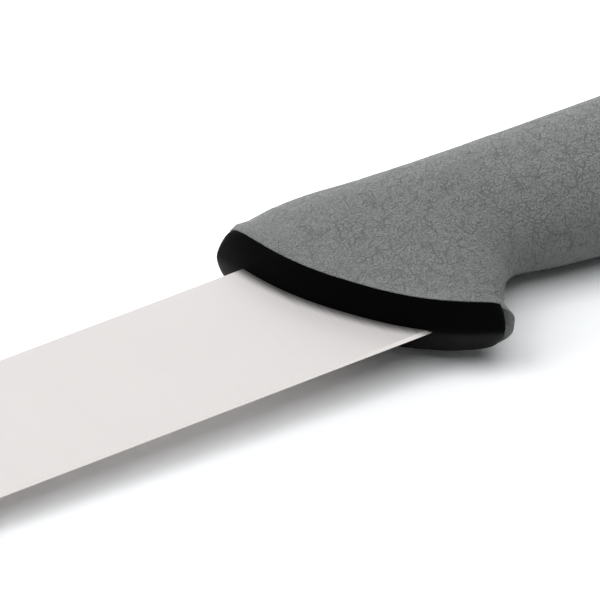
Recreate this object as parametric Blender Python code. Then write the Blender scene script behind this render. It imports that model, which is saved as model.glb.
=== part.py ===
"""Ham knife: a long narrow blade in a handle that is moulded in two shots.

The blade's tang is buried in a hard black core, and a soft grey grip wraps the core.
The knife lies on its side: +X runs to the blade's tip, +Y to the cutting edge, +Z up.
The shapes are worked out in metres from the point where the spine leaves the handle,
at the middle of the blade's thickness. An empty then puts the origin under the middle
of the whole knife.
"""
import math
from dataclasses import dataclass

import bmesh
import bpy
from mathutils import Vector

# Blade
BLADE_LENGTH = 0.360
BLADE_WIDTH = 0.032
SPINE_THICKNESS = 0.0020
SPINE_THICKNESS_AT_TIP = 0.0013
SHOULDER_THICKNESS = 0.0005
BEVEL_HEIGHT = 0.0006
TIP_SWEEP = 0.034
TIP_DROP = 0.008
TIP_CORNER = 0.011
HEEL_DEPTH = 0.0045
CLEAR_OF_FRONT = 0.006

# Tang, hidden in the handle
TANG_WIDTH = 0.015
TANG_SETBACK = 0.0315
TANG_THICKNESS = 0.0020
TANG_OFFSET = 0.0115
TANG_OVERLAP = 0.0015
TANG_END_ROUND = 0.006
TANG_HOLE_RADIUS = 0.0030
TANG_HOLE_COUNT = 3
TANG_HOLE_SETBACK = 0.012
TANG_HOLE_PITCH = 0.028

# Handle
HANDLE_LENGTH = 0.1395
HANDLE_THICKNESS = 0.0214
GUARD_DROP = 0.0075
FRONT_BOW = 0.0078
BOW_POWER = 2.4
RIDGE_ROUND = 0.0010
FRONT_CORNER = 0.0009
COVER_WALL = 0.0030
BUTT_WALL = 0.0045
BUTT_DOME = 0.0018
PAD_HALF_HEIGHT = 0.0060
PAD_HALF_THICKNESS = 0.0035
ANCHOR_RADIUS = 0.0025
ANCHOR_COUNT = 2
ANCHOR_PITCH = 0.0090
ANCHOR_SETBACK = 0.0070

# Fits
GAP = 0.0003

# Mesh
SECTION_STEPS = 20
RINGS_PER_STATION = 2
FRONT_STEPS = 5
BUTT_STEPS = 4
STRAIGHT_STEPS = 8
TIP_STEPS = 14
HOLE_SEGMENTS = 32
TANG_END_STEPS = 6
SHARP_ANGLE = math.radians(35)
WELD = 1e-7
SEARCH_STEPS_PER_STATION = 20
SEARCH_TURNS = 40


# The handle's sections from the parting line with the black front to the butt. Each is a line seen
# from above, from the spine side to the belly side: how far back and how far down each end lies,
# the line's bow, the thickness near each end, and how square the ends are. The distances are
# shares of the handle's length, the guard's reach, the front's bow and the handle's thickness.
RIDGE_SECTION = ((-0.005, -0.177), (0.225, 0.987), 1.0, 0.58, 0.48, 6.5)
HANDLE_SECTIONS = [
    ((0.013, -0.177), (0.225, 0.915), 0.95, 0.58, 0.48, 6.5),
    ((0.047, -0.214), (0.239, 0.950), 0.82, 0.70, 0.47, 3.8),
    ((0.090, -0.228), (0.257, 0.840), 0.72, 0.77, 0.50, 3.8),
    ((0.140, -0.222), (0.275, 0.715), 0.56, 0.82, 0.59, 3.4),
    ((0.204, -0.205), (0.307, 0.618), 0.41, 0.89, 0.66, 2.8),
    ((0.276, -0.187), (0.354, 0.567), 0.26, 0.94, 0.75, 2.5),
    ((0.373, -0.170), (0.434, 0.605), 0.13, 0.98, 0.90, 2.4),
    ((0.502, -0.154), (0.552, 0.648), 0.0, 1.0, 1.0, 2.4),
    ((0.645, -0.157), (0.674, 0.640), 0.0, 0.99, 0.99, 2.4),
    ((0.774, -0.177), (0.796, 0.620), 0.0, 0.97, 0.97, 2.5),
    ((0.875, -0.187), (0.896, 0.689), -0.13, 0.95, 0.95, 2.6),
    ((0.946, -0.157), (0.964, 0.772), -0.26, 0.92, 0.90, 2.8),
    ((0.993, -0.051), (1.0, 0.716), -0.26, 0.75, 0.71, 3.0),
]


@dataclass
class Station:
    """One section of the handle, seen from above as a line from its spine side to its belly side."""
    spine: tuple
    belly: tuple
    bow: float
    spine_half: float
    belly_half: float
    square: float


@dataclass
class BladeStation:
    """One section of the blade: a place on its spine, one on its edge, and the way in from the edge."""
    spine: tuple
    edge: tuple
    spine_half: float
    inwards: tuple


def guard_reach():
    """How far the guard reaches down from the spine, past the cutting edge."""
    return BLADE_WIDTH + GUARD_DROP


def tang_length():
    """How far the tang reaches into the handle."""
    return HANDLE_LENGTH - TANG_SETBACK


def sized_station(spine, belly, bow, spine_half, belly_half, square):
    """A section in real sizes, from its shares."""
    return Station(
        (-spine[0] * HANDLE_LENGTH, spine[1] * guard_reach()),
        (-belly[0] * HANDLE_LENGTH, belly[1] * guard_reach()),
        bow * FRONT_BOW,
        spine_half * HANDLE_THICKNESS / 2,
        belly_half * HANDLE_THICKNESS / 2,
        square,
    )


def ridge_station():
    """The ridge of the black front, where its upper and lower faces meet at mid-thickness."""
    return sized_station(*RIDGE_SECTION)


def handle_stations():
    """The handle's sections in real sizes."""
    return [sized_station(*section) for section in HANDLE_SECTIONS]


def blend(first, second, t):
    """A section between two others."""
    def mix(a, b):
        return a + (b - a) * t

    return Station(
        tuple(mix(a, b) for a, b in zip(first.spine, second.spine)),
        tuple(mix(a, b) for a, b in zip(first.belly, second.belly)),
        mix(first.bow, second.bow),
        mix(first.spine_half, second.spine_half),
        mix(first.belly_half, second.belly_half),
        mix(first.square, second.square),
    )


def smooth_step(before, here, after, beyond, t):
    """A value on the smooth curve through four neighbours, at t between the middle two."""
    slope_in = (after - before) / 2
    slope_out = (beyond - here) / 2
    bend = 3 * (after - here) - 2 * slope_in - slope_out
    rest = 2 * (here - after) + slope_in + slope_out
    return here + slope_in * t + bend * t ** 2 + rest * t ** 3


def handle_station(position):
    """The section at a position counted in stations from the parting line."""
    stations = handle_stations()
    last = len(stations) - 1
    index = min(int(position), last - 1)
    near = [stations[min(max(index + offset, 0), last)] for offset in (-1, 0, 1, 2)]

    def value(name):
        return smooth_step(*(getattr(station, name) for station in near), position - index)

    def place(name):
        points = [getattr(station, name) for station in near]
        return tuple(smooth_step(*axis, position - index) for axis in zip(*points))

    return Station(
        place("spine"),
        place("belly"),
        value("bow"),
        value("spine_half"),
        value("belly_half"),
        value("square"),
    )


def last_position():
    """The position of the handle's last section."""
    return float(len(handle_stations()) - 1)


def plan_frame(station):
    """A section's middle, half its length, its direction to the belly side and the way forward."""
    spine = Vector((*station.spine, 0))
    belly = Vector((*station.belly, 0))
    across = (belly - spine).normalized()
    forward = Vector((across.y, -across.x, 0))
    return (spine + belly) / 2, (belly - spine).length / 2, across, forward


def bow(station, along):
    """How far a section bows forward at a place along it, from -1 at its spine to 1 at its belly."""
    return station.bow * (1 - abs(along) ** BOW_POWER)


def section_ring(station, inset=0.0, shift=0.0, end_inset=0.0, flatten=1.0):
    """The closed ring of one section, from its spine side over the top and back underneath.

    inset draws the whole ring inwards, shift moves it towards the tip, end_inset draws in only
    its two ends, and flatten scales its thickness.
    """
    middle, half, across, forward = plan_frame(station)
    reach = (half - inset - end_inset) / half

    def point(s, side):
        along = s * reach
        thick = station.spine_half + (station.belly_half - station.spine_half) * (along + 1) / 2
        profile = max(0.0, 1 - abs(s) ** station.square) ** (1 / station.square)
        place = middle + across * along * half + forward * (bow(station, along) + shift)
        return place + Vector((0, 0, side * (thick - inset) * flatten * profile))

    steps = [-math.cos(math.pi * step / SECTION_STEPS) for step in range(SECTION_STEPS + 1)]
    upper = [point(s, 1) for s in steps]
    lower = [point(s, -1) for s in reversed(steps[1:-1])]
    return upper + lower


def body_rings(first, last, inset=0.0):
    """Rings along the handle between two positions."""
    count = max(1, round((last - first) * RINGS_PER_STATION))
    positions = [first + (last - first) * step / count for step in range(count + 1)]
    return [section_ring(handle_station(position), inset) for position in positions]


def front_rings():
    """Rings of the black front, a V with a round ridge, from the ridge back to the parting line."""
    full = (ridge_station().spine_half + ridge_station().belly_half) / 2
    deepest = math.hypot(full, RIDGE_ROUND) - RIDGE_ROUND
    rings = []
    for step in range(FRONT_STEPS + 1):
        height = step / FRONT_STEPS
        back = (math.hypot(height * full, RIDGE_ROUND) - RIDGE_ROUND) / deepest
        end_inset = FRONT_CORNER * (1 - math.sqrt(1 - (1 - back) ** 2))
        station = blend(ridge_station(), handle_station(0), back)
        rings.append(section_ring(station, 0, 0, end_inset, height))
    return rings


def front_x(y):
    """How far forward the ridge of the black front lies at a distance y from the spine."""
    station = ridge_station()
    middle, half, across, forward = plan_frame(station)
    low = -1.0
    high = 1.0
    for _ in range(SEARCH_TURNS):
        s = (low + high) / 2
        place = middle + across * s * half + forward * bow(station, s)
        if place.y < y:
            low = s
        else:
            high = s
    return place.x


def inner_end():
    """The position where the hollow of the grip ends, and its distance from the last section."""
    middle, _, _, forward = plan_frame(handle_station(last_position()))
    position = last_position()
    distance = 0.0
    while distance < BUTT_WALL:
        position -= 1 / SEARCH_STEPS_PER_STATION
        distance = (plan_frame(handle_station(position))[0] - middle).dot(forward)
    return position, distance


def pad_ring(shift, clearance=0.0):
    """The outline of the black pad in the butt, moved forward from the last section by shift."""
    middle, _, across, forward = plan_frame(handle_station(last_position()))
    ring = []
    for step in range(2 * SECTION_STEPS):
        angle = math.pi - math.pi * step / SECTION_STEPS
        along = math.cos(angle) * (PAD_HALF_HEIGHT - clearance)
        up = math.sin(angle) * (PAD_HALF_THICKNESS - clearance)
        ring.append(middle + across * along + forward * shift + Vector((0, 0, up)))
    return ring


def butt_rings():
    """Rings that round the butt off, from the last section to the hole for the black pad."""
    station = handle_station(last_position())
    start = section_ring(station)
    end = pad_ring(0)
    forward = plan_frame(station)[3]
    rings = []
    for step in range(1, BUTT_STEPS + 1):
        angle = math.pi / 2 * step / BUTT_STEPS
        back = forward * -BUTT_DOME * math.sin(angle)
        spread = math.cos(angle)
        rings.append([e + (s - e) * spread + back for s, e in zip(start, end)])
    return rings


def loft(rings, cap_first=False, cap_last=False, closed=False):
    """A bmesh with faces between neighbouring rings. A ring that folds flat closes its own end."""
    bm = bmesh.new()
    loops = [[bm.verts.new(point) for point in ring] for ring in rings]
    pairs = list(zip(loops, loops[1:]))
    if closed:
        pairs.append((loops[-1], loops[0]))
    if cap_first:
        bm.faces.new(loops[0])
    if cap_last:
        bm.faces.new(loops[-1])
    for near, far in pairs:
        for index, vert in enumerate(near):
            after = (index + 1) % len(near)
            bm.faces.new((vert, near[after], far[after], far[index]))
    bmesh.ops.remove_doubles(bm, verts=bm.verts, dist=WELD)
    bmesh.ops.recalc_face_normals(bm, faces=bm.faces)
    return bm


def core_mesh():
    """The black core: its front, its body inside the grip, and its pad in the butt."""
    inset = COVER_WALL + GAP
    end, distance = inner_end()
    rings = front_rings()
    rings += body_rings(0, end, inset)
    rings[-1] = section_ring(handle_station(end), inset, GAP)
    rings.append(pad_ring(distance + GAP, GAP))
    rings.append(pad_ring(-BUTT_DOME, GAP))
    return loft(rings, cap_last=True)


def cover_mesh():
    """The soft grip: a tube closed round the core, from the parting line to the black pad."""
    end, distance = inner_end()
    outer = body_rings(0, last_position())
    outer[0] = section_ring(handle_station(0), 0, -GAP)
    inner = body_rings(0, end, COVER_WALL)
    inner[0] = section_ring(handle_station(0), COVER_WALL, -GAP)
    return loft(outer + butt_rings() + [pad_ring(distance)] + inner[::-1], closed=True)


def upright_cylinder(x, y, radius, half_height):
    """A closed cylinder along Z."""
    bm = bmesh.new()
    bmesh.ops.create_cone(
        bm,
        cap_ends=True,
        segments=HOLE_SEGMENTS,
        radius1=radius,
        radius2=radius,
        depth=2 * half_height,
    )
    bmesh.ops.translate(bm, verts=bm.verts, vec=(x, y, 0))
    return bm


def blade_stations():
    """The blade's sections from the hidden heel to the tip."""
    half = SPINE_THICKNESS / 2
    thinning = (SPINE_THICKNESS_AT_TIP - SPINE_THICKNESS) / 2 / BLADE_LENGTH
    shoulder = SHOULDER_THICKNESS / 2
    sweep_start = BLADE_LENGTH - TIP_SWEEP
    sweep_height = BLADE_WIDTH - TIP_DROP
    heel = [(front_x(y) - HEEL_DEPTH, y) for y in (0.0, BLADE_WIDTH)]
    slant = (heel[0][0] - heel[1][0]) / BLADE_WIDTH
    stations = [BladeStation(heel[0], heel[1], half, (slant, -1.0))]
    for step in range(STRAIGHT_STEPS + 1):
        x = CLEAR_OF_FRONT + (sweep_start - CLEAR_OF_FRONT) * step / STRAIGHT_STEPS
        stations.append(BladeStation((x, 0.0), (x, BLADE_WIDTH), half + thinning * x, (0.0, -1.0)))
    for step in range(1, TIP_STEPS + 1):
        angle = math.pi / 2 * step / TIP_STEPS
        to_tip = TIP_SWEEP * (1 - math.sin(angle))
        x = BLADE_LENGTH - to_tip
        past_corner = max(0.0, 1 - to_tip / TIP_CORNER)
        spine_y = TIP_DROP * (1 - math.sqrt(1 - past_corner ** 2))
        edge_y = TIP_DROP + sweep_height * math.cos(angle)
        spine_half = half + thinning * x
        spine_half += (shoulder - spine_half) * past_corner ** 2
        inwards = -Vector((math.sin(angle) / TIP_SWEEP, math.cos(angle) / sweep_height)).normalized()
        stations.append(BladeStation((x, spine_y), (x, edge_y), spine_half, tuple(inwards)))
    return stations


def blade_ring(station, bevel):
    """One section of the blade: the spine's face, two flat sides and the bevel on each side."""
    x, y = station.spine
    edge = Vector((*station.edge, 0))
    shoulder = edge + Vector((*station.inwards, 0)) * bevel
    up = Vector((0, 0, SHOULDER_THICKNESS / 2))
    return [
        Vector((x, y, 0)),
        Vector((x, y, station.spine_half)),
        shoulder + up,
        edge,
        shoulder - up,
        Vector((x, y, -station.spine_half)),
    ]


def blade_mesh():
    """The blade from its hidden heel to its tip, where the spine and the edge meet."""
    stations = blade_stations()
    rings = [blade_ring(station, BEVEL_HEIGHT) for station in stations]
    tip = rings[-1]
    tip[0] = tip[3]
    tip[1] = tip[2]
    tip[5] = tip[4]
    return loft(rings, cap_first=True)


def heel_slot_mesh():
    """The space that the blade's heel fills in the core, with a square edge and the clearance."""
    heel, clear = blade_stations()[:2]
    slanted_gap = GAP * math.hypot(1, heel.inwards[0])
    rings = []
    for station, shift in ((heel, -slanted_gap), (clear, 0)):
        back = Vector((shift, 0, 0))
        outwards = Vector((*station.inwards, 0)) * -GAP
        spine = Vector((*station.spine, 0)) - outwards + back
        edge = Vector((*station.edge, 0)) + outwards + back
        spine_up = Vector((0, 0, station.spine_half + GAP))
        edge_up = Vector((0, 0, SHOULDER_THICKNESS / 2 + GAP))
        rings.append([spine + spine_up, edge + edge_up, edge - edge_up, spine - spine_up])
    return loft(rings, cap_first=True, cap_last=True)


def tang_mesh(grow=0.0):
    """The tang: a flat bar that starts in the heel, along the front's slant, with round rear corners."""
    top = TANG_OFFSET - TANG_WIDTH / 2
    bottom = TANG_OFFSET + TANG_WIDTH / 2
    half = TANG_THICKNESS / 2 + grow
    slant = (front_x(bottom) - front_x(top)) / TANG_WIDTH
    start = front_x(top) - HEEL_DEPTH + TANG_OVERLAP + grow * math.hypot(1, slant)
    end = -tang_length() - grow
    outline = [
        (start - slant * grow, top - grow, -half),
        (start + slant * (TANG_WIDTH + grow), bottom + grow, -half),
        (end, bottom + grow, -half),
        (end, top - grow, -half),
    ]
    bm = bmesh.new()
    face = bm.faces.new([bm.verts.new(point) for point in outline])
    sides = bmesh.ops.extrude_face_region(bm, geom=[face])["geom"]
    top_verts = [item for item in sides if isinstance(item, bmesh.types.BMVert)]
    bmesh.ops.translate(bm, verts=top_verts, vec=(0, 0, 2 * half))
    rear = [
        edge
        for edge in bm.edges
        if all(abs(vert.co.x - end) < WELD for vert in edge.verts)
        and abs(edge.verts[0].co.z - edge.verts[1].co.z) > half
    ]
    bmesh.ops.bevel(
        bm,
        geom=rear,
        offset=TANG_END_ROUND,
        offset_type="OFFSET",
        segments=TANG_END_STEPS,
        profile=0.5,
        affect="EDGES",
        material=-1,
    )
    bmesh.ops.recalc_face_normals(bm, faces=bm.faces)
    return bm


def half_thickness_at(x):
    """Half the handle's thickness where its middle line passes x."""
    position = last_position()
    while plan_frame(handle_station(position))[0].x < x and position > 0:
        position -= 1 / SEARCH_STEPS_PER_STATION
    station = handle_station(position)
    return (station.spine_half + station.belly_half) / 2


def add_object(name, bm, material=None):
    """Puts a bmesh in the scene as an object, shaded smooth where it is round."""
    mesh = bpy.data.meshes.new(name)
    bm.to_mesh(mesh)
    bm.free()
    mesh.shade_smooth()
    mesh.set_sharp_from_angle(angle=SHARP_ANGLE)
    if material:
        mesh.materials.append(material)
    obj = bpy.data.objects.new(name, mesh)
    bpy.context.scene.collection.objects.link(obj)
    return obj


def add_guide(name, bm):
    """A shape that only cuts or joins another."""
    obj = add_object(name, bm)
    obj.hide_render = True
    obj.display_type = "WIRE"
    return obj


def add_boolean(obj, operation, other):
    """Cuts or joins an object with another, with the exact solver."""
    modifier = obj.modifiers.new(f"{operation.lower()}_{other.name}", "BOOLEAN")
    modifier.operation = operation
    modifier.object = other
    modifier.solver = "EXACT"


def make_material(name, colour, roughness, metallic):
    """A Principled material."""
    material = bpy.data.materials.new(name)
    material.use_nodes = True
    shader = material.node_tree.nodes["Principled BSDF"]
    shader.inputs["Base Color"].default_value = (*colour, 1)
    shader.inputs["Roughness"].default_value = roughness
    shader.inputs["Metallic"].default_value = metallic
    return material


def tang_holes():
    """Where the holes in the tang are, from the one next to its end forward."""
    rearmost = TANG_HOLE_SETBACK - tang_length()
    return [rearmost + TANG_HOLE_PITCH * index for index in range(TANG_HOLE_COUNT)]


def anchor_places():
    """Where the grip runs through the core, behind the tang."""
    first = -tang_length() - ANCHOR_SETBACK
    return [first - ANCHOR_PITCH * index for index in range(ANCHOR_COUNT)]


def build_blade():
    """The steel blade with its tang and the tang's holes."""
    steel = make_material("steel", (0.76, 0.75, 0.74), 0.28, 1.0)
    blade = add_object("blade", blade_mesh(), steel)
    add_boolean(blade, "UNION", add_guide("tang_bar", tang_mesh()))
    for index, x in enumerate(tang_holes()):
        hole = upright_cylinder(x, TANG_OFFSET, TANG_HOLE_RADIUS, TANG_THICKNESS)
        add_boolean(blade, "DIFFERENCE", add_guide(f"tang_hole_{index + 1}", hole))
    return blade


def build_core():
    """The hard black core, which fills the tang's holes."""
    black = make_material("black_plastic", (0.006, 0.006, 0.006), 0.35, 0.0)
    core = add_object("handle_core", core_mesh(), black)
    add_boolean(core, "DIFFERENCE", add_guide("heel_slot", heel_slot_mesh()))
    tang_slot = add_guide("tang_slot", tang_mesh(GAP))
    for index, x in enumerate(tang_holes()):
        pin = upright_cylinder(x, TANG_OFFSET, TANG_HOLE_RADIUS - GAP, 2 * TANG_THICKNESS)
        add_boolean(tang_slot, "DIFFERENCE", add_guide(f"tang_pin_{index + 1}", pin))
    add_boolean(core, "DIFFERENCE", tang_slot)
    for index, x in enumerate(anchor_places()):
        window = upright_cylinder(x, TANG_OFFSET, ANCHOR_RADIUS + GAP, half_thickness_at(x))
        add_boolean(core, "DIFFERENCE", add_guide(f"anchor_window_{index + 1}", window))
    return core


def build_cover():
    """The soft grey grip, joined through the core behind the tang."""
    grey = make_material("grey_grip", (0.205, 0.215, 0.208), 0.6, 0.0)
    cover = add_object("grip_cover", cover_mesh(), grey)
    for index, x in enumerate(anchor_places()):
        reach = half_thickness_at(x) - COVER_WALL / 2
        anchor = upright_cylinder(x, TANG_OFFSET, ANCHOR_RADIUS, reach)
        add_boolean(cover, "UNION", add_guide(f"anchor_{index + 1}", anchor))
    return cover


def place_on_origin(pieces):
    """Hangs every object on an empty, so that the origin is under the middle of the knife."""
    points = [vert.co for piece in pieces for vert in piece.data.vertices]
    middle = [(min(axis) + max(axis)) / 2 for axis in zip(*((p.x, p.y) for p in points))]
    lowest = min(point.z for point in points)
    knife = bpy.data.objects.new("ham_knife", None)
    bpy.context.scene.collection.objects.link(knife)
    for obj in bpy.data.objects:
        if obj is not knife:
            obj.parent = knife
    knife.location = (-middle[0], -middle[1], -lowest)
    bpy.context.view_layer.update()


def main():
    """Clears the scene and builds the knife."""
    for obj in list(bpy.data.objects):
        bpy.data.objects.remove(obj)
    place_on_origin([build_blade(), build_core(), build_cover()])


main()
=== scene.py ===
"""Looks of a ham knife: a satin blade in a two-part moulded handle, lying on a pale table.

The knife lies on its side, +X towards the blade's tip, +Y towards the cutting edge and +Z up.
Each class builds one of the knife's pieces, or the studio round it. Sizes are in metres, and
distances on the knife are counted from the point where the spine leaves the handle, at the
middle of the blade's thickness.
"""
import logging
import math
from dataclasses import dataclass, field, fields
from enum import Enum
from typing import Iterable, Sequence

import bmesh
import bpy
from mathutils import Matrix, Vector, noise

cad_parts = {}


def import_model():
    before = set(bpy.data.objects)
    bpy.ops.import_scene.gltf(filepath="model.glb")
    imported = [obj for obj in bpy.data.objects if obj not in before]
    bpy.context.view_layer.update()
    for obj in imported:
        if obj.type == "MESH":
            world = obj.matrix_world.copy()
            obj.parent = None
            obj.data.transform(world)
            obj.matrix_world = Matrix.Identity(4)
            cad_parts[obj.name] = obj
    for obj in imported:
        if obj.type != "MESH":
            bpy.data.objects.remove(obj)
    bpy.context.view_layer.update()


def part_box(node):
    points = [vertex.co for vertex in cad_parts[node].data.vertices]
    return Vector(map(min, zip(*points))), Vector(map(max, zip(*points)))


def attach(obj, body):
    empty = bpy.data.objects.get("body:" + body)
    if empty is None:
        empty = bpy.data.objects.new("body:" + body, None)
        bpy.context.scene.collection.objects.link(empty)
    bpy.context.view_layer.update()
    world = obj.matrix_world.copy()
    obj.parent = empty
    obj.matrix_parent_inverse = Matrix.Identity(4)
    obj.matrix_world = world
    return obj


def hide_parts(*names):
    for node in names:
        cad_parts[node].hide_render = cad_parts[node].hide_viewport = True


LOG = logging.getLogger("ham_knife")
BODY = "root"


class Rays(Enum):
    """Outputs of the Light Path node that the studio asks for."""

    CAMERA = "Is Camera Ray"
    GLOSSY = "Is Glossy Ray"
    TRANSMISSION = "Is Transmission Ray"


# Finishes


class NodeSheet:
    """A material's or world's node tree, with short ways to add and join nodes."""

    def __init__(self, tree: bpy.types.NodeTree) -> None:
        """Empties the tree.

        Args:
            tree: The tree to fill.
        """
        self.tree = tree
        tree.nodes.clear()

    def add(self, kind: str, settings: dict | None = None, **inputs: object) -> bpy.types.Node:
        """Adds a node.

        Args:
            kind: The node's type name without the ShaderNode prefix.
            settings: Properties of the node itself.
            inputs: Values or sockets for its inputs, by name with underscores for spaces.

        Returns:
            The new node.
        """
        node = self.tree.nodes.new("ShaderNode" + kind)
        for name, value in (settings or {}).items():
            setattr(node, name, value)
        for name, value in inputs.items():
            self.put(node.inputs[name.replace("_", " ")], value)
        return node

    def put(self, socket: bpy.types.NodeSocket, value: object) -> None:
        """Sets an input, or joins it to an output.

        Args:
            socket: The input.
            value: A number, a colour, a vector or another node's output.
        """
        if isinstance(value, bpy.types.NodeSocket):
            self.tree.links.new(value, socket)
        else:
            socket.default_value = value

    def math(self, operation: str, *values: object) -> bpy.types.NodeSocket:
        """Adds a Math node.

        Args:
            operation: Its operation.
            values: Its inputs in order.

        Returns:
            Its output.
        """
        node = self.add("Math", {"operation": operation})
        for socket, value in zip(node.inputs, values):
            self.put(socket, value)
        return node.outputs[0]

    def vector_math(self, operation: str, *values: object) -> bpy.types.NodeSocket:
        """Adds a Vector Math node.

        Args:
            operation: Its operation.
            values: Its inputs in order.

        Returns:
            Its vector output.
        """
        node = self.add("VectorMath", {"operation": operation})
        for socket, value in zip(node.inputs, values):
            self.put(socket, value)
        return node.outputs[0]

    def dot(self, first: object, second: object) -> bpy.types.NodeSocket:
        """Adds a dot product.

        Args:
            first: A vector.
            second: A vector.

        Returns:
            Its output.
        """
        node = self.add("VectorMath", {"operation": "DOT_PRODUCT"})
        self.put(node.inputs[0], first)
        self.put(node.inputs[1], second)
        return node.outputs["Value"]

    def ramp(self, value: object, low: float, high: float, start: float = 0.0,
             end: float = 1.0) -> bpy.types.NodeSocket:
        """Maps a value smoothly from one range to another.

        Args:
            value: The socket to map.
            low: Where the range starts.
            high: Where it ends.
            start: The result at low.
            end: The result at high.

        Returns:
            The mapped value.
        """
        node = self.add(
            "MapRange",
            {"interpolation_type": "SMOOTHSTEP"},
            Value=value,
            From_Min=low,
            From_Max=high,
            To_Min=start,
            To_Max=end,
        )
        return node.outputs[0]

    def noise(self, place: object, scale: float, detail: float,
              roughness: float = 0.5) -> bpy.types.NodeSocket:
        """Adds a noise.

        Args:
            place: The coordinates.
            scale: How many of its waves there are in a metre.
            detail: How many times finer waves are added.
            roughness: How strong the finer waves are.

        Returns:
            Its value, from 0 to 1.
        """
        node = self.add(
            "TexNoise",
            Vector=place,
            Scale=scale,
            Detail=detail,
            Roughness=roughness,
        )
        return node.outputs["Fac"]

    def mix(self, factor: object, first: object, second: object) -> bpy.types.NodeSocket:
        """Mixes two colours.

        Args:
            factor: How much of the second there is.
            first: A colour.
            second: A colour.

        Returns:
            The mixed colour.
        """
        node = self.add("Mix", {"data_type": "RGBA"})
        self.put(node.inputs["Factor"], factor)
        self.put(node.inputs[6], first)
        self.put(node.inputs[7], second)
        return node.outputs[2]

    def seen(self) -> bpy.types.NodeSocket:
        """Tells what is looked at from what only sends light on.

        Returns:
            1 for what the camera sees, straight or in a reflection, and 0 for light sent on.
        """
        path = self.add("LightPath").outputs
        straight = self.math("MAXIMUM", path[Rays.CAMERA.value], path[Rays.GLOSSY.value])
        return self.math("MAXIMUM", straight, path[Rays.TRANSMISSION.value])


def grey(level: float) -> tuple[float, float, float, float]:
    """A neutral colour of one level."""
    return (level, level, level, 1.0)


def new_material(name: str) -> tuple[bpy.types.Material, NodeSheet]:
    """Starts a material.

    Args:
        name: Its name.

    Returns:
        The material and its empty node sheet.
    """
    made = bpy.data.materials.new(name)
    made.use_nodes = True
    return made, NodeSheet(made.node_tree)


@dataclass(frozen=True)
class FrontLine:
    """The bowed line where the handle's front meets the blade."""

    middle: Vector
    half: float
    across: Vector
    forward: Vector
    bow: float
    power: float

    def distance(self, sheet: NodeSheet, place: bpy.types.NodeSocket) -> bpy.types.NodeSocket:
        """How far a place lies in front of the line.

        Args:
            sheet: The node sheet.
            place: The place on the blade.

        Returns:
            The distance.
        """
        offset = sheet.vector_math("SUBTRACT", place, self.middle)
        along = sheet.math("DIVIDE", sheet.dot(offset, self.across), self.half)
        ahead = sheet.math("SUBTRACT", sheet.dot(offset, self.forward), self.bow)
        drop = sheet.math("POWER", sheet.math("ABSOLUTE", along), self.power)
        return sheet.math("MULTIPLY_ADD", drop, self.bow, ahead)


@dataclass(frozen=True)
class SatinSteel:
    """Ground stainless steel: fine lines across the blade, and painted shade darkening it next to
    the handle.
    """

    front: FrontLine
    name: str = "satin_steel"
    colour: tuple[float, float, float] = (0.792, 0.749, 0.731)
    metallic: float = 0.14
    roughness: float = 0.34
    spread: float = 0.70
    line_pitch: float = 0.00035
    line_length: float = 0.020
    line_shade: float = 0.06
    line_rough: float = 0.10
    line_press: float = 0.5
    relief: float = 0.0000012
    cloud_scale: float = 55.0
    cloud_shade: float = 0.03
    painted_shade_width: float = 0.0028
    painted_shade_darkest: float = 0.12
    painted_shade_fray: float = 0.0008

    def material(self) -> bpy.types.Material:
        """Builds the material.

        Returns:
            The new material.
        """
        made, sheet = new_material(self.name)
        place = sheet.add("TexCoord").outputs["Object"]
        stretch = (1 / self.line_pitch, 1 / self.line_length, 1 / self.line_length)
        lines = sheet.noise(sheet.vector_math("MULTIPLY", place, stretch), 1.0, 3.0, 0.65)
        cloudy = sheet.math("SUBTRACT", sheet.noise(place, self.cloud_scale, 2.0), 0.5)
        centred = sheet.math("SUBTRACT", lines, 0.5)
        shade = sheet.math("MULTIPLY_ADD", centred, self.line_shade, 1.0)
        shade = sheet.math("MULTIPLY_ADD", cloudy, self.cloud_shade, shade)
        # Painted shade: the colour darkens towards the handle's front, where the front shades the
        # blade.
        distance = self.front.distance(sheet, place)
        distance = sheet.math("MULTIPLY_ADD", centred, self.painted_shade_fray, distance)
        painted_shade = sheet.ramp(distance, 0.0, self.painted_shade_width, self.painted_shade_darkest, 1.0)
        colour = sheet.vector_math("MULTIPLY", self.colour, sheet.math("MULTIPLY", shade, painted_shade))
        bump = sheet.add("Bump", Strength=self.line_press, Distance=self.relief, Height=lines)
        along_blade = sheet.add("CombineXYZ", X=1.0).outputs[0]
        shader = sheet.add(
            "BsdfPrincipled",
            Base_Color=colour,
            Metallic=self.metallic,
            Roughness=sheet.math("MULTIPLY_ADD", centred, self.line_rough, self.roughness),
            Anisotropic=self.spread,
            Tangent=along_blade,
            Normal=bump.outputs[0],
        )
        sheet.add("OutputMaterial", Surface=shader.outputs[0])
        return made


@dataclass(frozen=True)
class HonedSteel:
    """The narrow honed bevel, smoother than the sides and a touch brighter."""

    name: str = "honed_steel"
    colour: tuple[float, float, float] = (0.808, 0.771, 0.748)
    roughness: float = 0.24
    scratch_scale: tuple[float, float, float] = (3000.0, 900.0, 900.0)
    scratch_rough: float = 0.10

    def material(self) -> bpy.types.Material:
        """Builds the material.

        Returns:
            The new material.
        """
        made, sheet = new_material(self.name)
        place = sheet.add("TexCoord").outputs["Object"]
        stretched = sheet.vector_math("MULTIPLY", place, self.scratch_scale)
        scratches = sheet.noise(stretched, 1.0, 2.0)
        smoothest = self.roughness - self.scratch_rough / 2
        rough = sheet.math("MULTIPLY_ADD", scratches, self.scratch_rough, smoothest)
        shader = sheet.add(
            "BsdfPrincipled",
            Base_Color=(*self.colour, 1.0),
            Metallic=1.0,
            Roughness=rough,
        )
        sheet.add("OutputMaterial", Surface=shader.outputs[0])
        return made


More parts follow.
